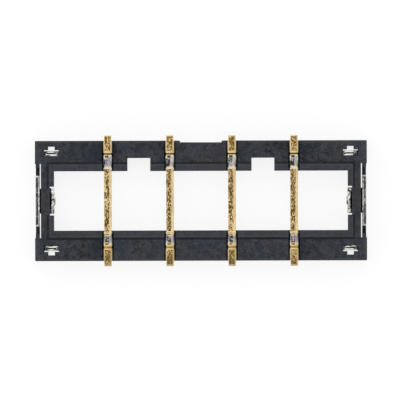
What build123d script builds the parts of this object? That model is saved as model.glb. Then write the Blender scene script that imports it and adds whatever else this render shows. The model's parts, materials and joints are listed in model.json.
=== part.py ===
from build123d import *
import os

# Battery socket for a flexible printed circuit: an open moulded frame, gold contact bars that
# cross it from one long side to the other, and a stamped clip folded over each end wall.
# It lies on its mating face with the solder side up. X runs along the frame, Y across it,
# and Z rises from the mating face at 0. All sizes are in millimetres.

# Moulded frame
body_length = 10.16
body_width = 3.68
body_height = 1.0
body_edge_radius = 0.03
end_wall = 0.58
side_wall = 0.93
rim_width = 0.213
rim_end_width = 0.155
rim_groove_width = 0.06
rim_groove_depth = 0.07
lead_in = 0.10
key_width = 0.70
key_depth = 0.40
gate_length = 1.28
gate_depth = 0.055

# Contact bars
contact_count = 4
contact_pitch = 1.90
contact_stock = 0.12
coined_edge = 0.02
bar_width = 0.235
tail_width = 0.22
tail_overhang = 0.16
standoff = 0.02
joggle_start = 0.41
joggle_run = 0.45
joggle_drop = 0.22
contact_bend_radius = 0.06
score_width = 0.06
score_depth = 0.035

# Barbs on the edges of the bars, placed by their distance in from the frame's long face
barb_width = 0.265
barb_thickness = 0.06
barb_taper = 0.025
outer_barb_start = 0.0
outer_barb_length = 0.385
inner_barb_start = 0.435
inner_barb_length = 0.305
seat_barb_start = 0.79
seat_barb_length = 0.12

# Slots that hold the bars
slot_mouth_width = 0.35
slot_mouth_depth = 0.26

# End clips
clip_stock = 0.12
plate_inset = 0.02
plate_clearance = 0.02
plate_margin = 0.05
saddle_width = 0.77
leg_gap = 0.04
leg_setback = 0.022
foot_width = 1.52
foot_bottom = 0.26
foot_corner_radius = 0.08
foot_clearance = 0.01
pocket_width = 2.27
pocket_ear = 0.125
pocket_shoulder = 0.30

# Latch spring of a clip
spring_width = 0.79
spring_side_gap = 0.045
spring_gap = 0.02
spring_proud = 0.012
spring_end_depth = 0.10
bead_width = 0.28
bead_crest = 0.19
bead_height = 0.035
bead_start = 0.36
bead_run_in = 0.08

# Staked tabs at the corners, placed by their distance in from the end face and the long face
tab_from_end = 0.503
tab_from_side = 0.312
tab_width = 0.38
tab_gap = 0.03
tab_clearance = 0.01
stake_recess_depth = 0.12
stake_relief_depth = 0.40
stake_height = 0.08
stake_lip_width = 0.43
stake_lip_length = 0.025
stake_spread = 0.033
stake_groove_length = 0.28
stake_groove_width = 0.04
stake_groove_depth = 0.10
stake_clearance = 0.01
slit_length = 0.455
slit_width = 0.03
core_hole_width = 0.205
core_hole_reach = 0.135

# Places that several pieces share
half_length = body_length / 2
half_width = body_width / 2
window_end = half_length - end_wall
window_side = half_width - side_wall
solder_plane = body_height + standoff
foot_top = solder_plane
tail_middle = solder_plane - contact_stock / 2
bar_middle = tail_middle - joggle_drop
slot_floor = bar_middle - contact_stock / 2
contact_places = [(i - (contact_count - 1) / 2) * contact_pitch for i in range(contact_count)]
key_offset = (contact_count - 2) / 2 * contact_pitch

plate_top = plate_inset + clip_stock
plate_middle = plate_inset + clip_stock / 2
pocket_wall = half_length - leg_setback - clip_stock - leg_gap
leg_middle = half_length - leg_setback - clip_stock / 2
notch_wall = window_end - spring_proud + clip_stock + spring_gap
notch_side = spring_width / 2 + spring_side_gap
spring_middle = window_end - spring_proud + clip_stock / 2
spring_end = body_height - spring_end_depth
pad_side = window_side + lead_in + plate_margin
tab_centre = half_length - tab_from_end
tab_outside = half_width - tab_from_side
tab_inside = tab_outside - clip_stock
tab_middle = tab_outside - clip_stock / 2
slot_inside = tab_inside - tab_gap
stake_floor = body_height - stake_recess_depth

past = 0.5  # how far a cutter runs past the surface it opens


def block(x_from, x_to, y_from, y_to, z_from, z_to):
    # A box given by its two limits along each axis.
    middle = Pos((x_from + x_to) / 2, (y_from + y_to) / 2, (z_from + z_to) / 2)
    return middle * Box(abs(x_to - x_from), abs(y_to - y_from), abs(z_to - z_from))


def both_sides(shape):
    # A shape and its mirror image across the XZ plane.
    return shape + mirror(shape, about=Plane.XZ)


def both_ends(shape):
    # A shape and the same shape turned half round the Z axis.
    return shape + Rot(0, 0, 180) * shape


def open_frame():
    # The moulding's outer block with rounded edges, its window and the two keyways.
    blank = block(-half_length, half_length, -half_width, half_width, 0, body_height)
    frame = fillet(blank.edges(), body_edge_radius)
    frame -= block(-window_end, window_end, -window_side, window_side, -past, body_height + past)
    for centre in (-key_offset, key_offset):
        frame -= block(centre - key_width / 2, centre + key_width / 2,
                       0, window_side + key_depth, -past, body_height + past)
    return frame


def with_lead_in(frame):
    # The plug is guided by a chamfer along both long edges of the window, on the mating face.
    rim = frame.edges().filter_by(Axis.X).filter_by_position(Axis.Z, -0.01, 0.01)
    guides = [edge for edge in rim if abs(abs(edge.center().Y) - window_side) < 0.01]
    return chamfer(guides, lead_in)


def rim_groove_cutter():
    # The groove that sets off the window's rim on the solder side. It stops at the spring notches.
    rim = Rectangle(2 * (window_end + rim_end_width), 2 * (window_side + rim_width))
    around = Rectangle(2 * (window_end + rim_end_width + rim_groove_width),
                       2 * (window_side + rim_width + rim_groove_width))
    ring = Pos(0, 0, body_height - rim_groove_depth) * extrude(around - rim, amount=past)
    return ring - block(-half_length, half_length, -notch_side, notch_side, 0, body_height + past)


def contact_slot_cutter(place):
    # One slot across both long walls: a wide mouth over a narrow channel that grips the seat barbs.
    channel = block(place - barb_width / 2, place + barb_width / 2,
                    -half_width - past, half_width + past, slot_floor, body_height + past)
    mouth = block(place - slot_mouth_width / 2, place + slot_mouth_width / 2,
                  -half_width - past, half_width + past,
                  body_height - slot_mouth_depth, body_height + past)
    return channel + mouth


def gate_cutter():
    # The relief in the middle of one long face, where the mould was fed.
    return block(-gate_length / 2, gate_length / 2, half_width - gate_depth, half_width + past,
                 -past, body_height + past)


def leg_pocket_cutter():
    # The pocket in an end face for the clip's outer leg. It goes right through behind the foot,
    # has a shoulder beside the foot, and an ear at each side that guards the leg.
    foot_side = foot_width / 2 + foot_clearance
    ear_side = pocket_width / 2 - pocket_ear
    pocket = block(pocket_wall, half_length + past, -foot_side, foot_side, -past, body_height + past)
    over_shoulders = block(pocket_wall, half_length + past, -ear_side, ear_side,
                           pocket_shoulder, body_height + past)
    behind_ears = block(pocket_wall, pocket_wall + leg_gap, -pocket_width / 2, pocket_width / 2,
                        -past, body_height + past)
    before_ears = block(half_length - leg_setback, half_length + past,
                        -pocket_width / 2, pocket_width / 2, -past, body_height + past)
    return pocket + over_shoulders + behind_ears + before_ears


def spring_notch_cutter():
    # The notch in the window's end wall where the latch spring stands.
    return block(0, notch_wall, -notch_side, notch_side, -past, body_height + past)


def plate_recess_cutter():
    # The shallow recess in the mating face that takes the clip's cover plate.
    inner = tab_centre - tab_width / 2 - plate_clearance
    spine = block(notch_wall - plate_clearance, pocket_wall + leg_gap,
                  -tab_inside, tab_inside, -past, plate_top)
    corner_block = block(pocket_wall, pocket_wall + leg_gap, pocket_width / 2, tab_inside,
                         -past, plate_top)
    pad = block(inner, notch_wall, pad_side - plate_clearance, tab_inside, -past, plate_top)
    return spine + both_sides(corner_block + pad)


def corner_cutter():
    # A tab's slot with a slit open along its outer side, the recess its staked head lies in with
    # a deep relief at each end of the tab, and the cored hole that opens into the slit.
    half_slot = tab_width / 2 + tab_clearance
    half_slit = slit_length / 2
    slit_outside = tab_outside + slit_width
    slot = block(tab_centre - half_slot, tab_centre + half_slot,
                 slot_inside, tab_outside, -past, body_height + past)
    slit = block(tab_centre - half_slit, tab_centre + half_slit,
                 tab_outside, slit_outside, -past, body_height + past)
    recess = block(tab_centre - half_slit, tab_centre + half_slit,
                   tab_inside - stake_spread - stake_clearance, slit_outside,
                   stake_floor, body_height + past)
    relief = block(tab_centre - half_slit, tab_centre + half_slit, slot_inside, slit_outside,
                   body_height - stake_relief_depth, body_height + past)
    hole = block(tab_centre - core_hole_width / 2, tab_centre + core_hole_width / 2,
                 tab_outside, tab_outside + core_hole_reach, -past, body_height + past)
    return slot + slit + recess + relief + hole


def housing():
    frame = with_lead_in(open_frame())
    frame -= rim_groove_cutter()
    frame -= gate_cutter()
    for place in contact_places:
        frame -= contact_slot_cutter(place)
    for cutter in (leg_pocket_cutter(), spring_notch_cutter(), plate_recess_cutter(),
                   both_sides(corner_cutter())):
        frame -= both_ends(cutter)
    return frame


def contact_path():
    # The middle line of the strip: tail, joggle down, bar, joggle up, tail.
    tip = half_width + tail_overhang
    bend_out = half_width - joggle_start
    bend_in = bend_out - joggle_run
    half = [(0, tip, tail_middle), (0, bend_out, tail_middle), (0, bend_in, bar_middle)]
    other_half = [(0, -y, z) for x, y, z in reversed(half)]
    return FilletPolyline(*half, *other_half, radius=contact_bend_radius + contact_stock / 2)


def along_contact(section):
    # Sweeps a section, drawn with its width along X, down the middle line of the strip.
    path = contact_path()
    start = Plane(origin=path @ 0, x_dir=(1, 0, 0), z_dir=path % 0)
    return sweep(start * section, path=path)


def barb_zone(start, length):
    # The plan outline that a pair of barbs is cut to, with tapered ends.
    outer = half_width - start
    inner = outer - length
    reach = barb_width / 2
    root = reach - barb_taper
    outline = Polygon((root, outer), (reach, outer - barb_taper), (reach, inner + barb_taper),
                      (root, inner), (-root, inner), (-reach, inner + barb_taper),
                      (-reach, outer - barb_taper), (-root, outer), align=None)
    return extrude(outline, amount=solder_plane + past, dir=(0, 0, 1))


def coined_section(width):
    # The cross-section of the strip, with the burr coined off its four edges.
    return chamfer(Rectangle(width, contact_stock).vertices(), coined_edge)


def bend_score():
    # The line scored across the strip's top, where the joggle starts.
    place = half_width - joggle_start
    outline = Polygon((place - score_width / 2, solder_plane), (place, solder_plane - score_depth),
                      (place + score_width / 2, solder_plane), align=None)
    return extrude(Plane.YZ * outline, amount=barb_width, both=True)


def contact():
    # One strip with coined edges. Its tails are narrower, and its barbs wider, than the bar.
    strip = along_contact(coined_section(bar_width))
    strip &= block(-bar_width, bar_width, -half_width, half_width, 0, solder_plane + past)
    tail_length = tail_overhang + joggle_start / 2
    tail_start = Plane(origin=(0, half_width + tail_overhang, tail_middle),
                       x_dir=(1, 0, 0), z_dir=(0, -1, 0))
    tail = extrude(tail_start * coined_section(tail_width), amount=tail_length)
    barbed_strip = along_contact(Rectangle(barb_width, barb_thickness))
    barbs = barbed_strip & barb_zone(outer_barb_start, outer_barb_length)
    barbs += barbed_strip & barb_zone(inner_barb_start, inner_barb_length)
    barbs += barbed_strip & barb_zone(seat_barb_start, seat_barb_length)
    strip += both_sides(tail) + both_sides(barbs)
    return strip - both_sides(bend_score())


def folded_strip(points, width, inner_radius, width_along):
    # A strip of clip stock folded through the points of its middle line.
    path = FilletPolyline(*points, radius=inner_radius + clip_stock / 2)
    start = Plane(origin=path @ 0, x_dir=width_along, z_dir=path % 0)
    return sweep(start * Rectangle(width, clip_stock), path=path)


def cover_plate():
    # The clip's flat plate on the mating side: a spine over the end wall and a pad at each corner.
    spine = block(notch_wall, pocket_wall, -pad_side, pad_side, plate_inset, plate_top)
    pad = block(tab_centre - tab_width / 2, pocket_wall, pad_side, slot_inside - plate_margin,
                plate_inset, plate_top)
    return spine + both_sides(pad)


def outer_leg():
    # The saddle over the end wall, and the leg whose wide foot is soldered beside the tails.
    fold = [(notch_wall, 0, plate_middle), (leg_middle, 0, plate_middle), (leg_middle, 0, foot_top)]
    leg = folded_strip(fold, saddle_width, leg_gap, width_along=(0, 1, 0))
    foot = Rectangle(foot_width, foot_top - foot_bottom)
    foot = fillet(foot.vertices().group_by(Axis.Y)[-1], foot_corner_radius)
    back = Plane(origin=(leg_middle - clip_stock / 2, 0, (foot_bottom + foot_top) / 2),
                 x_dir=(0, 1, 0), z_dir=(1, 0, 0))
    return leg + extrude(back * foot, amount=clip_stock)


def bead(depth):
    # The solid under the latch spring's pressed bead, as deep in the sheet as asked for.
    base = window_end - spring_proud + depth
    crest = base - bead_height
    plan = Polygon((base, bead_width / 2), (crest, bead_crest / 2),
                   (crest, -bead_crest / 2), (base, -bead_width / 2), align=None)
    side = Polygon((base, bead_start), (crest, bead_start + bead_run_in),
                   (crest, spring_end + past), (base, spring_end + past), align=None)
    upright = extrude(plan, amount=spring_end, dir=(0, 0, 1))
    across = extrude(Plane.XZ * side, amount=bead_width, both=True)
    return upright & across


def latch_spring():
    # The spring that stands in the window's end and snaps past the plug with its bead.
    fold = [(pocket_wall, 0, plate_middle), (spring_middle, 0, plate_middle),
            (spring_middle, 0, spring_end)]
    sheet = folded_strip(fold, spring_width, spring_gap, width_along=(0, 1, 0))
    return sheet - bead(clip_stock) + bead(0)


def staked_tab():
    # A corner tab that passes up through the moulding. A blade's groove spreads its end inward over
    # the slot's edge.
    head_top = stake_floor + stake_height
    fold = [(tab_centre, pad_side, plate_middle), (tab_centre, tab_middle, plate_middle),
            (tab_centre, tab_middle, head_top)]
    tab = folded_strip(fold, tab_width, tab_gap, width_along=(1, 0, 0))
    inner = tab_inside - stake_spread
    neck = block(tab_centre - tab_width / 2, tab_centre + tab_width / 2,
                 inner, tab_outside, stake_floor, head_top)
    lip = block(tab_centre - stake_lip_width / 2, tab_centre + stake_lip_width / 2,
                inner, inner + stake_lip_length, stake_floor, head_top)
    groove_middle = (inner + tab_outside) / 2
    groove = Polygon((groove_middle - stake_groove_width / 2, head_top),
                     (groove_middle, head_top - stake_groove_depth),
                     (groove_middle + stake_groove_width / 2, head_top), align=None)
    cutter = Pos(tab_centre) * extrude(Plane.YZ * groove, amount=stake_groove_length / 2, both=True)
    return tab + neck + lip - cutter


def end_clip():
    return cover_plate() + outer_leg() + latch_spring() + both_sides(staked_tab())


def save(name, shape):
    export_step(shape, f"parts/{name}.step")


os.makedirs("parts", exist_ok=True)
save("housing", housing())
bar = contact()
for number, place in enumerate(contact_places, start=1):
    save(f"contact_{number}", Pos(place, 0, 0) * bar)
clip = end_clip()
save("end_clip_right", clip)
save("end_clip_left", Rot(0, 0, 180) * clip)
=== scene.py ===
import bpy
import json
import math
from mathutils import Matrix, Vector

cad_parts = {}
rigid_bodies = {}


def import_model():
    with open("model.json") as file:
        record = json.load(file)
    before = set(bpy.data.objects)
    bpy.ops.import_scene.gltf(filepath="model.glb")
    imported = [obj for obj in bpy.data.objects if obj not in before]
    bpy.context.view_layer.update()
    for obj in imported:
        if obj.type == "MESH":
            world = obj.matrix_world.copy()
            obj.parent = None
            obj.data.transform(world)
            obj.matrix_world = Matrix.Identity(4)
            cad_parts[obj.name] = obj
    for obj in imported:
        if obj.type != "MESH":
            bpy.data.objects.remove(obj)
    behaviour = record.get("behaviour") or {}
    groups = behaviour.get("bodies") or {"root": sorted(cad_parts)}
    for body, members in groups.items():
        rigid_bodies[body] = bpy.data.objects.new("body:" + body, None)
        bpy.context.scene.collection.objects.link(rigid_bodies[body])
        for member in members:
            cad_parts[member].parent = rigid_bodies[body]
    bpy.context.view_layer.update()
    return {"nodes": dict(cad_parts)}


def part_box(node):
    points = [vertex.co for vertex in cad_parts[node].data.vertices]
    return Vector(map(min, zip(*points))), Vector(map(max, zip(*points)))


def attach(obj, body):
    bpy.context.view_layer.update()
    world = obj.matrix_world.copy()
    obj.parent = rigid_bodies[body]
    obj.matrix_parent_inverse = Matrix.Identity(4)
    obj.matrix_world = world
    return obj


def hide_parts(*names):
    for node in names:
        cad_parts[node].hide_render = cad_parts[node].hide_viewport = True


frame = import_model()
nodes = frame["nodes"]
mm = 0.001
hair = 1e-9                       # metres, a step just clear of an edge
same = 1e-8                       # metres, points closer than this are one

# The frame's own places, in metres.
frameLow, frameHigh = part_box("housing")
longFace = frameHigh.y
endFace = frameHigh.x
solderFace = frameHigh.z
print("frame loaded:", len(nodes), "nodes")


# Small helpers.

def deselectAll():
    if bpy.context.object and bpy.context.object.mode != "OBJECT":
        bpy.ops.object.mode_set(mode="OBJECT")
    bpy.ops.object.select_all(action="DESELECT")


def makeActive(piece):
    deselectAll()
    piece.select_set(True)
    bpy.context.view_layer.objects.active = piece


def settle(piece):
    # The place goes into the mesh, so the object sits at the origin.
    makeActive(piece)
    bpy.ops.object.transform_apply(location=True, rotation=True, scale=True)


def smoothByAngle(piece, degrees):
    makeActive(piece)
    bpy.ops.object.shade_smooth_by_angle(angle=math.radians(degrees))


def tidyMesh(piece):
    makeActive(piece)
    bpy.ops.object.mode_set(mode="EDIT")
    bpy.ops.mesh.select_all(action="SELECT")
    bpy.ops.mesh.remove_doubles(threshold=same)
    bpy.ops.mesh.normals_make_consistent(inside=False)
    bpy.ops.object.mode_set(mode="OBJECT")


def giveMaterial(piece, material):
    piece.data.materials.clear()
    piece.data.materials.append(material)
    for face in piece.data.polygons:
        face.material_index = 0


# Shader helpers. A place is where a node sits in the editor.

def addNode(tree, kind, place, **settings):
    node = tree.nodes.new(kind)
    node.location = place
    for name, value in settings.items():
        setattr(node, name, value)
    return node


def startMaterial(name):
    material = bpy.data.materials.new(name)
    material.use_nodes = True
    tree = material.node_tree
    shader = tree.nodes["Principled BSDF"]
    return material, tree, shader


def doMath(tree, place, operation, *values, clamp=False):
    # The values are numbers or sockets.
    node = addNode(tree, "ShaderNodeMath", place, operation=operation, use_clamp=clamp)
    for socket, value in zip(node.inputs, values):
        if isinstance(value, bpy.types.NodeSocket):
            tree.links.new(value, socket)
        else:
            socket.default_value = value
    return node.outputs[0]


def product(tree, place, first, second):
    return doMath(tree, place, "MULTIPLY", first, second)


def larger(tree, place, first, second):
    return doMath(tree, place, "MAXIMUM", first, second)


def mapRange(tree, place, value, fromLow, fromHigh, toLow=0.0, toHigh=1.0):
    node = addNode(tree, "ShaderNodeMapRange", place, interpolation_type="SMOOTHSTEP")
    tree.links.new(value, node.inputs["Value"])
    node.inputs["From Min"].default_value = fromLow
    node.inputs["From Max"].default_value = fromHigh
    node.inputs["To Min"].default_value = toLow
    node.inputs["To Max"].default_value = toHigh
    return node.outputs["Result"]


def between(tree, place, mask, atZero, atOne):
    return mapRange(tree, place, mask, 0.0, 1.0, atZero, atOne)


def band(tree, place, value, start, end, soft):
    # 1 between start and end, with soft ends, and 0 elsewhere.
    rise = mapRange(tree, place, value, start - soft, start + soft)
    fall = mapRange(tree, (place[0], place[1] - 150), value, end - soft, end + soft, 1.0, 0.0)
    return product(tree, (place[0] + 180, place[1]), rise, fall)


def mixColours(tree, place, factor, first, second):
    # first and second are colours or sockets, and factor is a number or a socket.
    mix = addNode(tree, "ShaderNodeMix", place, data_type="RGBA")
    for socket, value in ((mix.inputs[0], factor), (mix.inputs[6], first), (mix.inputs[7], second)):
        if isinstance(value, bpy.types.NodeSocket):
            tree.links.new(value, socket)
        else:
            socket.default_value = value if isinstance(value, (int, float)) else (*value, 1)
    return mix.outputs[2]


def splitPlace(tree, place):
    # The surface point's X, Y and Z in the frame.
    where = addNode(tree, "ShaderNodeTexCoord", place)
    split = addNode(tree, "ShaderNodeSeparateXYZ", (place[0] + 200, place[1]))
    tree.links.new(where.outputs["Object"], split.inputs[0])
    return split.outputs


def bump(tree, place, height, look, shader):
    node = addNode(tree, "ShaderNodeBump", place)
    node.inputs["Strength"].default_value = look["reliefStrength"]
    node.inputs["Distance"].default_value = look["relief"]
    tree.links.new(height, node.inputs["Height"])
    tree.links.new(node.outputs["Normal"], shader.inputs["Normal"])


def finishMetal(tree, shader, colour, wearAndPaintedLight, height, look):
    # Worn metal is rougher, and so are the places of painted shade in the same mask.
    tree.links.new(colour, shader.inputs["Base Color"])
    shader.inputs["Metallic"].default_value = 1.0
    rough = doMath(tree, (850, 50), "MULTIPLY_ADD", wearAndPaintedLight, look["wornRoughness"],
                   look["roughness"])
    tree.links.new(rough, shader.inputs["Roughness"])
    bump(tree, (850, -200), height, look, shader)
    shader.location = (1100, 300)
    tree.nodes["Material Output"].location = (1400, 300)


# Shared effects.

def makeMottleGroup():
    # Patches and specks of one kind, drawn out along X or Y. Both outputs run from 0 to 1.
    group = bpy.data.node_groups.new("surfaceMottle", "ShaderNodeTree")
    for name in ("Scale", "Along X", "Along Y", "Shift", "Detail", "Low", "High"):
        group.interface.new_socket(name=name, in_out="INPUT", socket_type="NodeSocketFloat")
    for name in ("Mask", "Raw"):
        group.interface.new_socket(name=name, in_out="OUTPUT", socket_type="NodeSocketFloat")
    inside = addNode(group, "NodeGroupInput", (-1100, 0))
    outside = addNode(group, "NodeGroupOutput", (500, 0))
    where = addNode(group, "ShaderNodeTexCoord", (-1100, -250))
    squeeze = addNode(group, "ShaderNodeCombineXYZ", (-700, 0))
    squeeze.inputs["Z"].default_value = 1
    for axis in ("X", "Y"):
        slow = doMath(group, (-900, 120), "DIVIDE", 1.0, inside.outputs["Along " + axis])
        group.links.new(slow, squeeze.inputs[axis])
    stretched = addNode(group, "ShaderNodeVectorMath", (-500, 0), operation="MULTIPLY")
    group.links.new(where.outputs["Object"], stretched.inputs[0])
    group.links.new(squeeze.outputs[0], stretched.inputs[1])
    moved = addNode(group, "ShaderNodeVectorMath", (-330, 0), operation="ADD")
    group.links.new(stretched.outputs[0], moved.inputs[0])
    group.links.new(inside.outputs["Shift"], moved.inputs[1])
    noise = addNode(group, "ShaderNodeTexNoise", (-150, 0))
    noise.inputs["Roughness"].default_value = 0.6
    group.links.new(moved.outputs[0], noise.inputs["Vector"])
    group.links.new(inside.outputs["Scale"], noise.inputs["Scale"])
    group.links.new(inside.outputs["Detail"], noise.inputs["Detail"])
    mask = addNode(group, "ShaderNodeMapRange", (150, 0), interpolation_type="SMOOTHSTEP")
    group.links.new(noise.outputs[0], mask.inputs["Value"])
    group.links.new(inside.outputs["Low"], mask.inputs["From Min"])
    group.links.new(inside.outputs["High"], mask.inputs["From Max"])
    group.links.new(mask.outputs["Result"], outside.inputs["Mask"])
    group.links.new(noise.outputs[0], outside.inputs["Raw"])
    return group


mottle = makeMottleGroup()
mottleRange = (0.30, 0.70)        # nearly all raw values lie between these
mottleMiddle = 0.5


def placeMottle(tree, place, scale, shift, low=0.45, high=0.55, alongX=1.0, alongY=1.0,
                detail=3.0):
    # The scale is per metre, the shift sets one mottle off from another, and the mask rises
    # between low and high.
    node = addNode(tree, "ShaderNodeGroup", place, node_tree=mottle)
    values = {"Scale": scale, "Along X": alongX, "Along Y": alongY, "Shift": shift,
              "Detail": detail, "Low": low, "High": high}
    for name, value in values.items():
        node.inputs[name].default_value = value
    return node


mouldedPlastic = {
    "darkColour": (0.0010, 0.0035, 0.0085),
    "paleColour": (0.0470, 0.0510, 0.0620),
    "warmColour": (0.0290, 0.0250, 0.0280),
    "coolColour": (0.0150, 0.0240, 0.0400),
    "rimColour": (0.0425, 0.0470, 0.0595),
    # the colour of the painted highlights on the rim and on the outer edges
    "highlightColour": (0.0640, 0.0650, 0.0710),
    "grainScale": 21000,
    "blotchScale": 5200,
    "driftScale": 1500,
    "grainShare": 0.50,           # of the mottling; the rest is blotches
    "driftShare": 0.50,           # how far a stretch goes over to the warm or cool colour
    "warmRange": (0.50, 0.62),
    "coolRange": (0.38, 0.50),
    "rimEnd": 4.655 * mm,         # half the rim's length over its outer edge
    "rimSide": 1.123 * mm,        # half the rim's width
    "rimShare": 0.35,
    "rimHighlight": 0.055 * mm,        # the painted highlight: a pale line along the rim's outer edge
    "rimHighlightSoft": 0.012 * mm,
    "rimHighlightShare": 0.245,
    # painted shade in the groove on the -Y side, away from the light
    "grooveShade": (1.135 * mm, 1.198 * mm, 0.008 * mm),    # start, end and softness from the middle
    "grooveShadeShare": 0.50,
    "edgeReach": 0.26 * mm,       # how far in from the end faces the painted sheen goes
    "sideReach": 0.12 * mm,       # and from the long faces
    "edgeSheen": (0.15, 0.75),
    "roughness": 0.55,
    "roughnessSpread": 0.07,
    "specular": 0.30,
    "relief": 0.005 * mm,
    "reliefStrength": 0.45,
}


def makeMouldedPlastic(look):
    material, tree, shader = startMaterial("charcoalPlastic")
    grain = placeMottle(tree, (-1100, 300), look["grainScale"], shift=0.31)
    blotches = placeMottle(tree, (-1100, 0), look["blotchScale"], shift=0.77, low=0.43,
                           high=0.57, detail=4.0)
    drift = placeMottle(tree, (-1100, -300), look["driftScale"], shift=0.53)
    x, y, _ = splitPlace(tree, (-1500, -500))
    fromMiddleX = doMath(tree, (-1100, -550), "ABSOLUTE", x)
    fromMiddleY = doMath(tree, (-1100, -700), "ABSOLUTE", y)

    fine = product(tree, (-900, 300), grain.outputs["Mask"], look["grainShare"])
    amount = doMath(tree, (-700, 250), "MULTIPLY_ADD", blotches.outputs["Mask"],
                    1 - look["grainShare"], fine)
    colour = mixColours(tree, (-500, 300), amount, look["darkColour"], look["paleColour"])
    warm = mapRange(tree, (-900, -300), drift.outputs["Raw"], *look["warmRange"],
                    0.0, look["driftShare"])
    colour = mixColours(tree, (-350, 300), warm, colour, look["warmColour"])
    cool = mapRange(tree, (-900, -430), drift.outputs["Raw"], *look["coolRange"],
                    look["driftShare"], 0.0)
    colour = mixColours(tree, (-350, 450), cool, colour, look["coolColour"])

    # Painted shade darkens the groove between the rim and the wall without the gate, on the -Y
    # side, away from the light.
    towardsFar = product(tree, (-1100, -1900), y, -1.0)
    grooveShadeMask = band(tree, (-900, -1900), towardsFar, *look["grooveShade"])
    grooveShadeMask = product(tree, (-550, -1900), grooveShadeMask, look["grooveShadeShare"])
    colour = mixColours(tree, (-150, 600), grooveShadeMask, colour, look["darkColour"])

    # The rim round the window was cut by another insert of the mould and is a little paler.
    insideX = doMath(tree, (-900, -550), "LESS_THAN", fromMiddleX, look["rimEnd"])
    insideY = doMath(tree, (-900, -700), "LESS_THAN", fromMiddleY, look["rimSide"])
    onRim = product(tree, (-700, -600), insideX, insideY)
    paler = product(tree, (-550, -600), onRim, look["rimShare"])
    colour = mixColours(tree, (-200, 300), paler, colour, look["rimColour"])
    # A painted highlight: a pale line along the rim's outer edge, where the edge catches the light.
    highlightX = band(tree, (-900, -1300), fromMiddleX, look["rimEnd"] - look["rimHighlight"],
                 look["rimEnd"], look["rimHighlightSoft"])
    highlightY = band(tree, (-900, -1600), fromMiddleY, look["rimSide"] - look["rimHighlight"],
                 look["rimSide"], look["rimHighlightSoft"])
    line = larger(tree, (-600, -1400), highlightX, highlightY)
    line = product(tree, (-500, -1400), line, onRim)
    line = product(tree, (-350, -1400), line, look["rimHighlightShare"])
    colour = mixColours(tree, (-150, 450), line, colour, look["highlightColour"])

    # Painted sheen: the outer edges are paler, in patches, where their rounding catches the light.
    sheenX = mapRange(tree, (-900, -850), fromMiddleX, endFace - look["edgeReach"], endFace)
    sheenY = mapRange(tree, (-900, -1000), fromMiddleY, longFace - look["sideReach"], longFace)
    wearAndPaintedLight = larger(tree, (-700, -900), sheenX, sheenY)
    patchy = mapRange(tree, (-700, -1050), grain.outputs["Raw"], *mottleRange,
                      *look["edgeSheen"])
    wearAndPaintedLight = product(tree, (-550, -900), wearAndPaintedLight, patchy)
    colour = mixColours(tree, (-50, 300), wearAndPaintedLight, colour, look["highlightColour"])
    tree.links.new(colour, shader.inputs["Base Color"])

    rough = mapRange(tree, (-350, 0), blotches.outputs["Raw"], *mottleRange,
                     look["roughness"] - look["roughnessSpread"],
                     look["roughness"] + look["roughnessSpread"])
    tree.links.new(rough, shader.inputs["Roughness"])
    shader.inputs["Specular IOR Level"].default_value = look["specular"]
    bump(tree, (-150, -200), grain.outputs["Raw"], look, shader)
    return material


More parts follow.
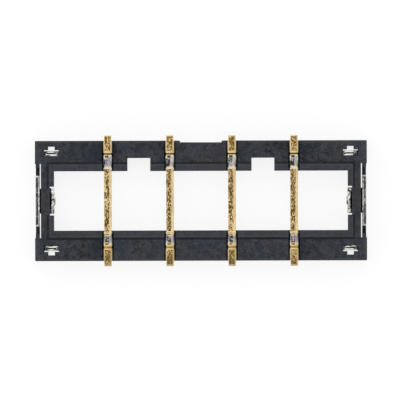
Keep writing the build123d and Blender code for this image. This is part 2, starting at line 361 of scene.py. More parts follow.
# A zone is its start, end and softness. Lengths run in from the frame's long face, and widths
# run across the strip from its middle. The gate side is +Y, and the far side is -Y.
plating = {
    "pitch": 1.9 * mm,
    "bandShift": 0.013 * mm,      # the plating lies a little towards the gate side
    "changeOver": 0.5 * mm,       # half the length over which the gate side becomes the far side
    "goldPale": (0.84, 0.67, 0.39),
    "goldDeep": (0.66, 0.49, 0.24),
    # the painted highlight on the lands
    "creamHighlight": (0.98, 0.88, 0.66),
    "amber": (0.38, 0.200, 0.055),
    "olive": (0.290, 0.205, 0.072),
    "brown": (0.105, 0.062, 0.014),
    "nickelPale": (0.83, 0.78, 0.73),
    "nickelDark": (0.045, 0.052, 0.045),
    "nickelViolet": (0.59, 0.54, 0.69),
    "speckScale": 29000,
    "threadScale": 42000,
    "patchScale": 6500,
    "stainScale": 2600,
    # bars
    "wearWidth": (-0.104 * mm, 0.042 * mm, 0.012 * mm),
    "coreWidth": (-0.060 * mm, 0.020 * mm, 0.016 * mm),
    "barStart": (0.875 * mm, 0.900 * mm),
    "wearWobble": 0.06 * mm,
    "startWobble": 0.5,           # how much of that wobble the bar's start has
    "wearRange": (0.38, 0.60),
    "wearDepth": (0.46, 0.70),
    "coreDepth": 0.14,
    "gritRange": (0.38, 0.62),
    "gritDepth": (-0.78, 0.82),
    # tails
    "fieldWidth": (-0.094 * mm, 0.080 * mm, 0.009 * mm),
    "fieldLength": (-0.118 * mm, 0.325 * mm, 0.010 * mm),
    "fieldFade": (-0.06 * mm, 0.03 * mm),
    "fieldRight": 0.86,           # the field is this strong on the strip's right
    "spotRange": (0.92, 1.08),
    "spotDepth": (0.14, 1.0),
    "broadSpots": 0.55,
    "tailEnd": (0.325 * mm, 0.413 * mm),
    "tailTone": 0.75,
    # painted shade on the far tails, away from the light
    "farTailShade": 0.20,
    # score and lands
    "scoreLength": (0.389 * mm, 0.437 * mm, 0.008 * mm),
    "scoreDepth": (0.66, 0.28),   # painted shade in the score, on the gate side and on the far side
    "patchLength": (0.465 * mm, 0.535 * mm, 0.010 * mm),
    "patchWidth": (-0.085 * mm, 0.020 * mm, 0.014 * mm),
    "patchRange": (0.36, 0.50),
    "patchDepth": (0.50, 0.95),
    "farPatch": 0.55,
    "dashLength": (0.787 * mm, 0.813 * mm, 0.005 * mm),
    "tickLength": (0.848 * mm, 0.862 * mm, 0.005 * mm),
    "tickDepth": 0.8,
    "landLength": (0.443 * mm, 0.885 * mm, 0.012 * mm),
    # how strong the painted highlight is on the far side's land
    "farLandHighlight": 0.10,
    # hues
    "toneRange": (0.35, 0.65),
    "oliveRange": (0.46, 0.54),
    "oliveField": 0.8,
    "stainAndShadeFrom": (0.0, 0.50),
    "bareAndShadeFrom": (0.43, 0.88),
    # nickel band
    "nickelLength": (0.550 * mm, 0.802 * mm, 0.012 * mm),
    "nickelRagged": 0.10 * mm,
    "earlyWidth": (-0.02 * mm, 0.07 * mm),
    "earlyUpTo": (0.60 * mm, 0.65 * mm),
    "earlyBy": 0.055 * mm,
    "farEarly": 0.20,
    "shortFrom": (0.64 * mm, 0.68 * mm),
    "shortBy": 0.045 * mm,        # the far side's band is shorter by this
    "pitWidth": (-0.112 * mm, 0.006 * mm, 0.022 * mm),
    "farPitShift": 0.025 * mm,
    "pitRight": 0.34,             # pits are this strong on the strip's right
    "pitSpecks": 0.5,
    "farPits": 0.08,
    "pitRange": (0.69, 0.77),
    "pitDepth": (0.12, 1.0),
    "violetRange": (0.48, 0.60),
    "violetShare": 0.60,
    "roughness": 0.34,
    "wornRoughness": 0.20,
    "relief": 0.008 * mm,
    "reliefStrength": 0.5,
}


def placeOnStrip(tree, look):
    # across runs over one strip's width, inward from the long face, and farSide from 0 to 1.
    x, y, _ = splitPlace(tree, (-2300, 0))
    wrapped = doMath(tree, (-1900, 150), "WRAP", x, look["pitch"], 0.0)
    across = doMath(tree, (-1700, 150), "SUBTRACT", wrapped, look["pitch"] / 2)
    shifted = doMath(tree, (-1900, -50), "SUBTRACT", y, look["bandShift"])
    distance = doMath(tree, (-1700, -50), "ABSOLUTE", shifted)
    inward = doMath(tree, (-1500, -50), "SUBTRACT", longFace, distance)
    farSide = mapRange(tree, (-1500, -1600), y, -look["changeOver"], look["changeOver"], 1.0, 0.0)
    return across, inward, farSide


def platingMottles(tree, look):
    specks = placeMottle(tree, (-1900, 700), look["speckScale"], shift=0.13, alongY=1.5)
    threads = placeMottle(tree, (-1900, 950), look["threadScale"], shift=0.52, alongY=2.6,
                          detail=2.0)
    patches = placeMottle(tree, (-1900, 1200), look["patchScale"], shift=0.91, low=0.42,
                          high=0.58, alongY=1.6, detail=4.0)
    stains = placeMottle(tree, (-1900, 1450), look["stainScale"], shift=0.37, alongY=1.3)
    return {"specks": specks.outputs["Raw"], "threads": threads.outputs["Raw"],
            "patches": patches.outputs["Raw"], "patchMask": patches.outputs["Mask"],
            "stains": stains.outputs["Raw"]}


def barWear(tree, look, across, inward, marks):
    # Worn and stained from the left edge to a little past the middle, clean on the right.
    uneven = doMath(tree, (-1450, 1450), "SUBTRACT", marks["patches"], mottleMiddle)
    wobble = product(tree, (-1300, 1450), uneven, look["wearWobble"])
    side = doMath(tree, (-1150, 1400), "ADD", across, wobble)
    wearAndPaintedLight = band(tree, (-1000, 1400), side, *look["wearWidth"])
    core = band(tree, (-1000, 1050), side, *look["coreWidth"])
    depth = mapRange(tree, (-1000, 1700), marks["stains"], *look["wearRange"],
                     *look["wearDepth"])
    depth = doMath(tree, (-800, 1600), "MULTIPLY_ADD", core, look["coreDepth"], depth)
    grit = mapRange(tree, (-1000, 850), marks["threads"], *look["gritRange"],
                    *look["gritDepth"])
    depth = doMath(tree, (-600, 1600), "ADD", depth, grit, clamp=True)
    wearAndPaintedLight = product(tree, (-400, 1200), wearAndPaintedLight, depth)
    raggedStart = doMath(tree, (-1300, 650), "MULTIPLY_ADD", wobble, look["startWobble"],
                         inward)
    onBar = mapRange(tree, (-1000, 600), raggedStart, *look["barStart"])
    return product(tree, (-250, 1200), wearAndPaintedLight, onBar)


def tailField(tree, look, across, inward):
    # The mottled field lies inside a clean edge that runs round the tip.
    field = band(tree, (-1000, 400), across, *look["fieldWidth"])
    fade = mapRange(tree, (-1000, 550), across, *look["fieldFade"], 1.0, look["fieldRight"])
    field = product(tree, (-850, 380), field, fade)
    length = band(tree, (-1000, 200), inward, *look["fieldLength"])
    return product(tree, (-700, 350), field, length)


def tailWear(tree, look, field, marks):
    spots = doMath(tree, (-950, 600), "ADD", marks["specks"], marks["threads"])
    spots = mapRange(tree, (-800, 600), spots, *look["spotRange"], *look["spotDepth"])
    broad = product(tree, (-800, 750), marks["patchMask"], look["broadSpots"])
    spots = larger(tree, (-650, 600), spots, broad)
    return product(tree, (-500, 400), spots, field)


def landWear(tree, look, across, inward, farSide, marks):
    # A brown patch lies between the score and the nickel, on the strip's left.
    onLeft = band(tree, (-1000, -400), across, *look["patchWidth"])
    patch = band(tree, (-1000, -150), inward, *look["patchLength"])
    patch = product(tree, (-650, -150), patch, onLeft)
    depth = mapRange(tree, (-800, -550), marks["patches"], *look["patchRange"],
                     *look["patchDepth"])
    patch = product(tree, (-500, -150), patch, depth)
    weaker = between(tree, (-500, -300), farSide, 1.0, look["farPatch"])
    patch = product(tree, (-400, -150), patch, weaker)

    # The far side has a thin dash and a tick on its pale land.
    dash = band(tree, (-1000, -1550), inward, *look["dashLength"])
    tick = band(tree, (-1000, -1850), inward, *look["tickLength"])
    tick = product(tree, (-700, -1850), tick, look["tickDepth"])
    dash = larger(tree, (-600, -1650), dash, tick)
    onFarLeft = product(tree, (-600, -1800), farSide, onLeft)
    dash = product(tree, (-450, -1650), onFarLeft, dash)
    return larger(tree, (-300, -150), patch, dash)


def scoreShade(tree, look, inward, farSide):
    # Painted shade in the scored groove, darker on the gate side than on the far side because of
    # how the light falls.
    score = band(tree, (-1000, -700), inward, *look["scoreLength"])
    depth = between(tree, (-800, -700), farSide, *look["scoreDepth"])
    return product(tree, (-600, -700), score, depth)


def goldColour(tree, look, inward, farSide, onTail, field, wearAndPaintedLight, marks):
    # Gold goes from pale to deep, has a painted cream highlight on the lands, and wears to amber or
    # olive and brown; the same colours paint the shade in the score and on the far tails.
    tone = mapRange(tree, (-300, 600), marks["patches"], *look["toneRange"])
    tailTone = product(tree, (-300, 900), onTail, look["tailTone"])
    tone = larger(tree, (-150, 650), tone, tailTone)
    gold = mixColours(tree, (0, 600), tone, look["goldPale"], look["goldDeep"])
    # A painted highlight: the lands are cream, fully on the gate side and faintly on the far side,
    # whose lands catch the key lamp instead.
    landHighlightMask = band(tree, (-300, 300), inward, *look["landLength"])
    landHighlight = between(tree, (-150, 200), farSide, 1.0, look["farLandHighlight"])
    landHighlightMask = product(tree, (0, 300), landHighlightMask, landHighlight)
    gold = mixColours(tree, (150, 600), landHighlightMask, gold, look["creamHighlight"])

    hue = mapRange(tree, (0, 850), marks["stains"], *look["oliveRange"])
    fieldHue = product(tree, (0, 1000), field, look["oliveField"])
    hue = larger(tree, (100, 950), hue, fieldHue)
    stainAndShadeColour = mixColours(tree, (200, 850), hue, look["amber"], look["olive"])
    stainAndShade = mapRange(tree, (200, 500), wearAndPaintedLight, *look["stainAndShadeFrom"])
    gold = mixColours(tree, (350, 600), stainAndShade, gold, stainAndShadeColour)
    bareAndShade = mapRange(tree, (350, 400), wearAndPaintedLight, *look["bareAndShadeFrom"])
    return mixColours(tree, (550, 600), bareAndShade, gold, look["brown"])


def nickelBand(tree, look, across, inward, farSide, marks):
    # The band has ragged ends. It starts earlier on the strip's right, and on the far side it
    # ends earlier.
    uneven = doMath(tree, (-1450, -1000), "SUBTRACT", marks["specks"], mottleMiddle)
    ragged = doMath(tree, (-1150, -950), "MULTIPLY_ADD", uneven, look["nickelRagged"], inward)
    early = mapRange(tree, (-1300, -1150), across, *look["earlyWidth"], 0.0, look["earlyBy"])
    outerPart = mapRange(tree, (-1300, -1350), inward, *look["earlyUpTo"], 1.0, 0.0)
    early = product(tree, (-1150, -1200), early, outerPart)
    weaker = between(tree, (-1150, -1350), farSide, 1.0, look["farEarly"])
    early = product(tree, (-1000, -1250), early, weaker)
    short = mapRange(tree, (-1300, -1450), inward, *look["shortFrom"], 0.0, look["shortBy"])
    short = product(tree, (-1150, -1450), farSide, short)
    ragged = doMath(tree, (-1000, -1100), "ADD", ragged, early)
    ragged = doMath(tree, (-850, -1100), "ADD", ragged, short)
    return band(tree, (-700, -950), ragged, *look["nickelLength"])


def nickelColour(tree, look, across, farSide, marks):
    # Dark pits lie on the left, a little nearer the middle on the far side, and some stains
    # are violet.
    pitAcross = doMath(tree, (-1150, -1300), "MULTIPLY_ADD", farSide, -look["farPitShift"],
                       across)
    onLeft = band(tree, (-1000, -1250), pitAcross, *look["pitWidth"])
    strength = between(tree, (-650, -1250), onLeft, look["pitRight"], 1.0)
    pits = doMath(tree, (-950, -1050), "MULTIPLY_ADD", marks["specks"], look["pitSpecks"],
                  marks["patches"])
    pits = doMath(tree, (-850, -1050), "MULTIPLY_ADD", farSide, look["farPits"], pits)
    pits = mapRange(tree, (-750, -1050), pits, *look["pitRange"], *look["pitDepth"])
    pits = product(tree, (-550, -1050), pits, strength)
    violet = mapRange(tree, (-600, -1400), marks["stains"], *look["violetRange"],
                      0.0, look["violetShare"])
    nickel = mixColours(tree, (-300, -1000), violet, look["nickelPale"], look["nickelViolet"])
    return mixColours(tree, (-100, -1000), pits, nickel, look["nickelDark"])


def makeContactPlating(look):
    material, tree, shader = startMaterial("goldOverNickel")
    across, inward, farSide = placeOnStrip(tree, look)
    marks = platingMottles(tree, look)
    field = tailField(tree, look, across, inward)
    wearAndPaintedLight = barWear(tree, look, across, inward, marks)
    wearAndPaintedLight = larger(tree, (-100, 900), wearAndPaintedLight, tailWear(tree, look, field, marks))
    wearAndPaintedLight = larger(tree, (50, 800), wearAndPaintedLight, landWear(tree, look, across, inward, farSide, marks))
    wearAndPaintedLight = larger(tree, (200, 700), wearAndPaintedLight, scoreShade(tree, look, inward, farSide))
    # Painted shade: the far tails are a little darker all over, away from the light.
    onTail = mapRange(tree, (-450, 750), inward, *look["tailEnd"], 1.0, 0.0)
    farTail = product(tree, (-300, 750), farSide, onTail)
    farTailShadeMask = product(tree, (200, 900), farTail, look["farTailShade"])
    wearAndPaintedLight = larger(tree, (300, 750), wearAndPaintedLight, farTailShadeMask)

    gold = goldColour(tree, look, inward, farSide, onTail, field, wearAndPaintedLight, marks)
    nickel = nickelColour(tree, look, across, farSide, marks)
    onNickel = nickelBand(tree, look, across, inward, farSide, marks)
    colour = mixColours(tree, (750, 300), onNickel, gold, nickel)
    finishMetal(tree, shader, colour, wearAndPaintedLight, marks["threads"], look)
    return material


# Places on the clips are distances from the frame's middle, along X or Y.
clipMetal = {
    "pale": (0.84, 0.85, 0.81),
    "grey": (0.40, 0.41, 0.37),
    "dark": (0.040, 0.039, 0.037),
    "speckScale": 18000,
    "patchScale": 6500,
    "scrapeScale": 24000,
    "endOn": (0.70, 0.95),        # how far a face looks up to count as a sheared end
    "rolledWear": 0.25,           # the wear of rolled faces
    "pitRange": (0.36, 0.54),
    "pitDepth": (0.40, 1.0),
    # the leg's end, along X
    "legStart": (4.90 * mm, 4.92 * mm),
    "legShade": (4.942 * mm, 4.966 * mm),
    "legShadeDepth": 0.36,
    "legFracture": (4.972 * mm, 4.988 * mm),    # torn outside this and smooth inside
    "legRim": (5.015 * mm, 5.035 * mm),
    "rimTorn": 0.75,
    "tornRange": (0.51, 0.57),
    "tornDepth": (1.0, 0.20),
    "rightTorn": 0.88,
    "sheltered": (0.58, 0.15),    # the smooth half's lack of pits, on the left and right clips
    "rightGrey": 0.75,
    # the foot, along Y
    "footRub": (0.717 * mm, 0.733 * mm),        # past this the foot's end is rubbed bright
    "greyFoot": (0.40 * mm, 0.725 * mm, 0.012 * mm),
    # the spring's back edge behind its bead, painted dark as shade, along X and Y
    "springBack": (4.572 * mm, 4.632 * mm, 0.006 * mm),
    "beadHalf": (0.24 * mm, 0.32 * mm),
    # the staked heads, along Y
    "headStart": (1.20 * mm, 1.25 * mm),
    "markAt": 1.4515 * mm,        # the middle of the blade's mark
    "markHalf": (0.010 * mm, 0.020 * mm),
    "markDepth": (0.054 * mm, 0.046 * mm),      # below the solder face
    # the heads keep this much of the grey, which paints a highlight on them
    "headHighlight": 0.35,
    "toneRange": (0.40, 0.60),
    "tone": (0.10, 0.85),
    "roughness": 0.34,
    "wornRoughness": 0.2,
    "relief": 0.005 * mm,
    "reliefStrength": 0.4,
}


def tornEnd(tree, look, torn, onRight, fromMiddleX, specks):
    # Dark between bright specks, a little less so on the right clip and at the outer rim.
    dark = mapRange(tree, (-750, -350), specks.outputs["Raw"], *look["tornRange"],
                    *look["tornDepth"])
    dark = product(tree, (-550, -500), torn, dark)
    weaker = between(tree, (-550, -350), onRight, 1.0, look["rightTorn"])
    dark = product(tree, (-400, -450), dark, weaker)
    rim = mapRange(tree, (-400, -300), fromMiddleX, *look["legRim"], 1.0, look["rimTorn"])
    return product(tree, (-250, -450), dark, rim)


def bladeGrooveShade(tree, look, fromMiddleY, z):
    # Painted shade: the groove of the staking blade is dark below the head's face.
    offset = doMath(tree, (-1050, -1000), "SUBTRACT", fromMiddleY, look["markAt"])
    fromMark = doMath(tree, (-900, -1000), "ABSOLUTE", offset)
    inBladeGroove = mapRange(tree, (-750, -1000), fromMark, *look["markHalf"], 1.0, 0.0)
    deep, shallow = look["markDepth"]
    below = mapRange(tree, (-750, -1150), z, solderFace - deep, solderFace - shallow, 1.0, 0.0)
    return product(tree, (-600, -1050), inBladeGroove, below)


def makeClipMetal(look):
    material, tree, shader = startMaterial("platedSpringSheet")
    x, y, z = splitPlace(tree, (-1500, -500))
    fromMiddleX = doMath(tree, (-1100, -500), "ABSOLUTE", x)
    fromMiddleY = doMath(tree, (-1100, -650), "ABSOLUTE", y)
    onRight = mapRange(tree, (-1100, -350), x, -mm, mm)
    specks = placeMottle(tree, (-1100, 500), look["speckScale"], shift=0.23, low=0.47,
                         high=0.54)
    patches = placeMottle(tree, (-1100, 200), look["patchScale"], shift=0.64, detail=4.0)
    scrapes = placeMottle(tree, (-1100, -100), look["scrapeScale"], shift=0.41, low=0.47,
                          high=0.53, alongX=7.0)

    # Sheared ends, which face up, are pitted. Rolled faces are nearly clean.
    facing = addNode(tree, "ShaderNodeNewGeometry", (-1500, -900))
    normal = addNode(tree, "ShaderNodeSeparateXYZ", (-1300, -900))
    tree.links.new(facing.outputs["True Normal"], normal.inputs[0])
    endOn = mapRange(tree, (-1100, -900), normal.outputs["Z"], *look["endOn"],
                     look["rolledWear"], 1.0)
    pitsAndShade = mapRange(tree, (-1000, 350), patches.outputs["Raw"], *look["pitRange"],
                      *look["pitDepth"])
    pitsAndShade = product(tree, (-850, 500), specks.outputs["Mask"], pitsAndShade)

    # The leg's end is torn on its outer half and smooth on its inner half.
    onLeg = mapRange(tree, (-900, -350), fromMiddleX, *look["legStart"])
    torn = mapRange(tree, (-900, -500), fromMiddleX, *look["legFracture"])
    rubbed = mapRange(tree, (-900, -650), fromMiddleY, *look["footRub"], 1.0, 0.0)
    torn = product(tree, (-700, -550), torn, rubbed)
    smooth = doMath(tree, (-550, -650), "SUBTRACT", onLeg, torn)
    lack = between(tree, (-700, 50), onRight, *look["sheltered"])
    lack = product(tree, (-550, 0), smooth, lack)
    kept = doMath(tree, (-450, 0), "SUBTRACT", 1.0, lack)
    pitsAndShade = product(tree, (-400, 100), pitsAndShade, kept)
    tornDark = tornEnd(tree, look, torn, onRight, fromMiddleX, specks)

    # Painted shade: behind the bead, the spring's back edge is dark, as if it were drawn in and the
    # gap behind it were wider.
    springBackShade = band(tree, (-700, -1300), fromMiddleX, *look["springBack"])
    pressed = mapRange(tree, (-500, -1450), fromMiddleY, *look["beadHalf"], 1.0, 0.0)
    springBackShade = product(tree, (-350, -1300), springBackShade, pressed)
    pitsAndShade = larger(tree, (-300, 150), pitsAndShade, springBackShade)

    # Staked heads at the corners are scraped lengthwise.
    onHead = mapRange(tree, (-900, -800), fromMiddleY, *look["headStart"])
    spots = addNode(tree, "ShaderNodeMix", (-400, 300), data_type="FLOAT")
    tree.links.new(onHead, spots.inputs[0])
    tree.links.new(larger(tree, (-300, 0), pitsAndShade, tornDark), spots.inputs[2])
    tree.links.new(scrapes.outputs["Mask"], spots.inputs[3])
    dark = product(tree, (-200, 200), spots.outputs[0], endOn)
    dark = larger(tree, (-100, 100), dark, bladeGrooveShade(tree, look, fromMiddleY, z))

    # The metal's grey: duller on the feet and on the right leg; brighter on the heads, which is a
    # painted highlight.
    tone = mapRange(tree, (-300, 450), patches.outputs["Raw"], *look["toneRange"], *look["tone"])
    headHighlightMask = between(tree, (-450, 650), onHead, 1.0, look["headHighlight"])
    tone = product(tree, (-200, 550), tone, headHighlightMask)
    onFoot = band(tree, (-700, 850), fromMiddleY, *look["greyFoot"])
    onFoot = product(tree, (-450, 800), onLeg, onFoot)
    tone = larger(tree, (-50, 600), tone, onFoot)
    rightGrey = between(tree, (-200, 850), onRight, 0.0, look["rightGrey"])
    rightGrey = product(tree, (-50, 750), smooth, rightGrey)
    tone = larger(tree, (50, 600), tone, rightGrey)
    colour = mixColours(tree, (200, 450), tone, look["pale"], look["grey"])
    # The leg's inner edge lies in the wall's shade.
    shade = mapRange(tree, (-350, 950), fromMiddleX, *look["legShade"],
                     look["legShadeDepth"], 0.0)
    shade = product(tree, (-150, 950), onLeg, shade)
    colour = mixColours(tree, (400, 450), shade, colour, look["dark"])
    colour = mixColours(tree, (600, 300), dark, colour, look["dark"])
    finishMetal(tree, shader, colour, dark, specks.outputs["Raw"], look)
    return material


charcoalPlastic = makeMouldedPlastic(mouldedPlastic)
goldOverNickel = makeContactPlating(plating)
platedSheet = makeClipMetal(clipMetal)
print("materials made")

# Contact bars.

contactBar = {
    "stock": 0.12 * mm,
    "tailWidth": 0.22 * mm,
    "barWidth": 0.235 * mm,
    "barbWidth": 0.265 * mm,
    "barbTaper": 0.025 * mm,
    # the barbs' ends, in from the frame's long face
    "barbs": ((0.0, 0.385 * mm), (0.435 * mm, 0.740 * mm), (0.79 * mm, 0.91 * mm)),
    "shoulder": 0.010 * mm,       # the length over which a tail widens to the bar
    "joggleStart": 0.41 * mm,
    "joggleRun": 0.45 * mm,
    "joggleDrop": 0.22 * mm,
    "bendRadius": 0.12 * mm,
    "bendSteps": 5,
    "coinedEdge": 0.014 * mm,
    "coinedSteps": 2,
    "coinedAngle": 70,            # degrees: edges sharper than this are coined
    "scoreWidth": 0.06 * mm,
    "scoreDepth": 0.035 * mm,
    "scoreReach": 0.98,           # the share of the score's width that is pressed down
    "smoothAngle": 32,
}


def middleLine(look, tip, tailHeight):
    # (y, z) of the strip's middle line from the tip to the middle of the window.
    slope = math.atan2(look["joggleDrop"], look["joggleRun"])
    reach = look["bendRadius"] * math.tan(slope / 2)
    outerBend = longFace - look["joggleStart"]
    innerBend = outerBend - look["joggleRun"]
    barHeight = tailHeight - look["joggleDrop"]
    line = [(tip, tailHeight)]
    for step in range(look["bendSteps"] + 1):
        angle = slope * step / look["bendSteps"]
        line.append((outerBend + reach - look["bendRadius"] * math.sin(angle),
                     tailHeight - look["bendRadius"] * (1 - math.cos(angle))))
    for step in range(look["bendSteps"] + 1):
        angle = slope * (1 - step / look["bendSteps"])
        line.append((innerBend - reach + look["bendRadius"] * math.sin(angle),
                     barHeight + look["bendRadius"] * (1 - math.cos(angle))))
    line.append((0.0, barHeight))
    return line


def heightOn(line, y):
    for (y0, z0), (y1, z1) in zip(line, line[1:]):
        if y1 <= y <= y0:
            return z0 + (z1 - z0) * (y0 - y) / (y0 - y1)
    return line[-1][1]


def widthAt(look, inward):
    # The strip's width at a distance in from the frame's long face.
    if inward < 0:
        return look["tailWidth"]
    width = look["barWidth"]
    for start, end in look["barbs"]:
        edge = min(inward - start, end - inward)
        if edge > 0:
            barb = look["barbWidth"] - 2 * look["barbTaper"] * max(0, 1 - edge / look["barbTaper"])
            width = max(width, barb)
    return width


def contactStations(look, line):
    # (y, z, width) wherever the strip bends, changes its width or is scored.
    depths = [-look["shoulder"], 0.0]
    for start, end in look["barbs"]:
        # The barb's tapered end leaves the strip's edge part of the way along the taper.
        hidden = look["barbTaper"] - (look["barbWidth"] - look["barWidth"]) / 2
        depths += [start + hidden, start + look["barbTaper"],
                   end - look["barbTaper"], end - hidden]
    half = look["scoreWidth"] / 2
    depths += [look["joggleStart"] - half, look["joggleStart"], look["joggleStart"] + half]
    places = sorted({round(y, 8) for y, z in line} | {round(longFace - d, 8) for d in depths},
                    reverse=True)
    side = [(y, heightOn(line, y), widthAt(look, longFace - y + hair)) for y in places]
    return side + [(-y, z, width) for y, z, width in reversed(side[:-1])]


def selectVertices(piece, wanted):
    makeActive(piece)
    bpy.ops.object.mode_set(mode="EDIT")
    bpy.ops.mesh.select_mode(type="VERT")
    bpy.ops.mesh.select_all(action="DESELECT")
    bpy.ops.object.mode_set(mode="OBJECT")
    for vertex in piece.data.vertices:
        vertex.select = wanted(vertex.co)
    bpy.ops.object.mode_set(mode="EDIT")


def scoreAcross(strip, look, line, sign):
    # Presses a V into the strip's top, station by station. The groove's two ends stay up.
    middle = longFace - look["joggleStart"]
    half = look["scoreWidth"] / 2
    pressed = half * look["scoreReach"]
    inGroove = {round(v.co.y * sign, 8) for v in strip.data.vertices
                if abs(v.co.y * sign - middle) < pressed}
    for y in inGroove:
        floor = heightOn(line, y) + look["stock"] / 2
        floor -= look["scoreDepth"] * (1 - abs(y - middle) / half)
        selectVertices(strip, lambda at: abs(at.y * sign - y) < 20 * hair and at.z > floor)
        bpy.ops.transform.resize(value=(1, 1, 0), center_override=(0, y * sign, floor))
    bpy.ops.object.mode_set(mode="OBJECT")


def makeContactStrip(look):
    _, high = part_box("contact_1")
    tailHeight = high.z - look["stock"] / 2
    line = middleLine(look, high.y, tailHeight)
    stations = contactStations(look, line)
    deselectAll()
    (y0, z0, width0), (y1, _, _) = stations[:2]
    bpy.ops.mesh.primitive_plane_add(size=1, location=(0, (y0 + y1) / 2, z0))
    strip = bpy.context.object
    strip.name = "contactStrip"
    strip.scale = (width0, y0 - y1, 1)
    settle(strip)
    for (yA, zA, widthA), (yB, zB, widthB) in zip(stations[1:], stations[2:]):
        lowest = min(vertex.co.y for vertex in strip.data.vertices)
        selectVertices(strip, lambda at: at.y < lowest + hair)
        bpy.ops.mesh.extrude_region_move(
            TRANSFORM_OT_translate={"value": (0, yB - yA, zB - zA)})
        bpy.ops.transform.resize(value=(widthB / widthA, 1, 1), center_override=(0, yB, zB))
        bpy.ops.object.mode_set(mode="OBJECT")
    thicken = strip.modifiers.new("stock", "SOLIDIFY")
    thicken.thickness = look["stock"]
    thicken.offset = 0
    coin = strip.modifiers.new("coinedEdges", "BEVEL")
    coin.width = look["coinedEdge"]
    coin.segments = look["coinedSteps"]
    coin.limit_method = "ANGLE"
    coin.angle_limit = math.radians(look["coinedAngle"])
    coin.use_clamp_overlap = False
    makeActive(strip)
    for modifier in list(strip.modifiers):
        bpy.ops.object.modifier_apply(modifier=modifier.name)
    for sign in (1, -1):
        scoreAcross(strip, look, line, sign)
    tidyMesh(strip)
    smoothByAngle(strip, look["smoothAngle"])
    giveMaterial(strip, goldOverNickel)
    return strip


strip = makeContactStrip(contactBar)
contactNames = sorted(name for name in nodes if name.startswith("contact_"))
for name in contactNames:
    makeActive(strip)
    bpy.ops.object.duplicate()
    copy = bpy.context.object
    copy.name = name + "_strip"
    low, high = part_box(name)
    copy.location.x = (low.x + high.x) / 2
    settle(copy)
    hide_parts(name)
    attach(copy, "root")
makeActive(strip)
bpy.ops.object.delete()
print("contact bars made:", len(contactNames))

# Moulded frame and end clips.

brokenEdge = {
    "housing": 0.005 * mm,
    "clips": 0.006 * mm,
    "steps": 2,
    "sharpness": 35,              # degrees
    "keepOff": 0.035 * mm,        # the outermost edges are rounded already
    "smoothAngle": 30,
}


def withBrokenEdges(name, width, material):
    # The piece's own form, with its sharp edges broken.
    makeActive(nodes[name])
    bpy.ops.object.duplicate()
    piece = bpy.context.object
    piece.name = name + "_dressed"
    bpy.ops.object.parent_clear(type="CLEAR_KEEP_TRANSFORM")
    settle(piece)
    tidyMesh(piece)
    bpy.ops.object.mode_set(mode="EDIT")
    bpy.ops.mesh.select_mode(type="EDGE")
    bpy.ops.mesh.select_all(action="DESELECT")
    bpy.ops.mesh.edges_select_sharp(sharpness=math.radians(brokenEdge["sharpness"]))
    bpy.ops.object.mode_set(mode="OBJECT")
    mesh = piece.data
    limitX = endFace - brokenEdge["keepOff"]
    limitY = longFace - brokenEdge["keepOff"]
    inside = [abs(v.co.x) < limitX and abs(v.co.y) < limitY for v in mesh.vertices]
    sharp = [e.index for e in mesh.edges if e.select and all(inside[i] for i in e.vertices)]
    bpy.ops.object.mode_set(mode="EDIT")
    bpy.ops.mesh.select_all(action="DESELECT")
    bpy.ops.object.mode_set(mode="OBJECT")
    for index in sharp:
        mesh.edges[index].select = True
    bpy.ops.object.mode_set(mode="EDIT")
    bpy.ops.mesh.bevel(offset=width, segments=brokenEdge["steps"], affect="EDGES",
                       clamp_overlap=False)
    bpy.ops.object.mode_set(mode="OBJECT")
    smoothByAngle(piece, brokenEdge["smoothAngle"])
    giveMaterial(piece, material)
    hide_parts(name)
    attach(piece, "root")
    print(name, "dressed,", len(mesh.polygons), "faces")


withBrokenEdges("housing", brokenEdge["housing"], charcoalPlastic)
for name in ("end_clip_left", "end_clip_right"):
    withBrokenEdges(name, brokenEdge["clips"], platedSheet)

# Floor, light and camera.

studio = {
    "floorSize": 3.0,
    "floorColour": (0.965, 0.965, 0.97),
    "floorRoughness": 0.9,
    "floorGrain": 40.0,
    "grainShade": 0.995,
    "glowShare": 0.79,            # how much of the floor the camera sees as plain white
    "glowLevel": 1.062,
    "worldLevel": 0.75,
    "panelPower": 0.40,
    "panelSize": 0.80,
    "panelHeight": 0.80,
    "keyPower": 0.07,
    "keySize": 0.20,
    "keyFrom": (-0.060, 0.080, 0.19),
}


def makeFloor(look):
    deselectAll()
    bpy.ops.mesh.primitive_plane_add(size=look["floorSize"], location=(0, 0, frameLow.z))
    floor = bpy.context.object
    floor.name = "studioFloor"
    settle(floor)
    material, tree, shader = startMaterial("paleFloor")
    shader.inputs["Roughness"].default_value = look["floorRoughness"]
    shader.inputs["Specular IOR Level"].default_value = 0.0
    grain = placeMottle(tree, (-700, 0), look["floorGrain"], shift=0.4, low=0.3, high=0.7)
    pale = look["floorColour"]
    shaded = [channel * look["grainShade"] for channel in pale]
    colour = mixColours(tree, (-400, 0), grain.outputs["Mask"], pale, shaded)
    tree.links.new(colour, shader.inputs["Base Color"])
    glow = addNode(tree, "ShaderNodeEmission", (0, -300))
    glow.inputs["Color"].default_value = (1, 1, 1, 1)
    glow.inputs["Strength"].default_value = look["glowLevel"]
    rays = addNode(tree, "ShaderNodeLightPath", (-400, -300))
    seen = larger(tree, (-200, -300), rays.outputs["Is Camera Ray"],
                  rays.outputs["Is Glossy Ray"])
    share = product(tree, (0, -150), seen, look["glowShare"])
    blend = addNode(tree, "ShaderNodeMixShader", (300, 0))
    tree.links.new(share, blend.inputs[0])
    tree.links.new(shader.outputs[0], blend.inputs[1])
    tree.links.new(glow.outputs[0], blend.inputs[2])
    tree.links.new(blend.outputs[0], tree.nodes["Material Output"].inputs["Surface"])
    floor.data.materials.append(material)


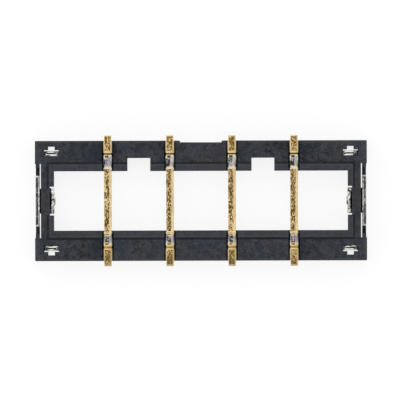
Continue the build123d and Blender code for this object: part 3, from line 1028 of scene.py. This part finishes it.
def makeWorld(look):
    # The room lights the part at its own level, and the camera sees it as plain white.
    world = bpy.data.worlds.new("paleRoom")
    bpy.context.scene.world = world
    world.use_nodes = True
    tree = world.node_tree
    light = tree.nodes["Background"]
    light.inputs["Color"].default_value = (1, 1, 1, 1)
    light.inputs["Strength"].default_value = look["worldLevel"]
    white = addNode(tree, "ShaderNodeBackground", (0, -200))
    white.inputs["Color"].default_value = (1, 1, 1, 1)
    white.inputs["Strength"].default_value = 1.0
    rays = addNode(tree, "ShaderNodeLightPath", (-300, 200))
    blend = addNode(tree, "ShaderNodeMixShader", (200, 0))
    tree.links.new(rays.outputs["Is Camera Ray"], blend.inputs[0])
    tree.links.new(light.outputs[0], blend.inputs[1])
    tree.links.new(white.outputs[0], blend.inputs[2])
    tree.links.new(blend.outputs[0], tree.nodes["World Output"].inputs["Surface"])


def makeLamp(name, place, size, power):
    # Every lamp looks at the middle of the frame.
    deselectAll()
    bpy.ops.object.light_add(type="AREA", location=place)
    lamp = bpy.context.object
    lamp.name = name
    lamp.data.shape = "SQUARE"
    lamp.data.size = size
    lamp.data.energy = power
    aim = Vector((0, 0, 0)) - Vector(place)
    lamp.rotation_euler = aim.to_track_quat("-Z", "Y").to_euler()


photoView = {
    "pixels": 400,
    "mmPerPixel": 0.03060,
    "framePixel": (200.96, 200.65),   # where the frame's middle lies in the photograph
    "lens": 1600,
    "sensor": 36,
    "roll": -0.16,                    # degrees, because the photograph isn't quite level
    "clipStart": 0.01,
    "clipEnd": 20,
}


def makeCamera(look):
    metresPerPixel = look["mmPerPixel"] * mm
    distance = look["pixels"] * metresPerPixel * look["lens"] / look["sensor"]
    aside = (look["pixels"] / 2 - look["framePixel"][0]) * metresPerPixel
    up = (look["framePixel"][1] - look["pixels"] / 2) * metresPerPixel
    deselectAll()
    bpy.ops.object.camera_add(location=(aside, up, solderFace + distance),
                              rotation=(0, 0, math.radians(look["roll"])))
    camera = bpy.context.object
    camera.name = "photoCamera"
    camera.data.lens = look["lens"]
    camera.data.sensor_width = look["sensor"]
    camera.data.clip_start = look["clipStart"]
    camera.data.clip_end = look["clipEnd"]
    bpy.context.scene.camera = camera


makeFloor(studio)
makeWorld(studio)
makeLamp("overheadPanel", (0, 0, studio["panelHeight"]), studio["panelSize"],
         studio["panelPower"])
makeLamp("keyPanel", studio["keyFrom"], studio["keySize"], studio["keyPower"])
makeCamera(photoView)
bpy.context.scene.view_settings.view_transform = "Standard"
print("floor, light and camera set")
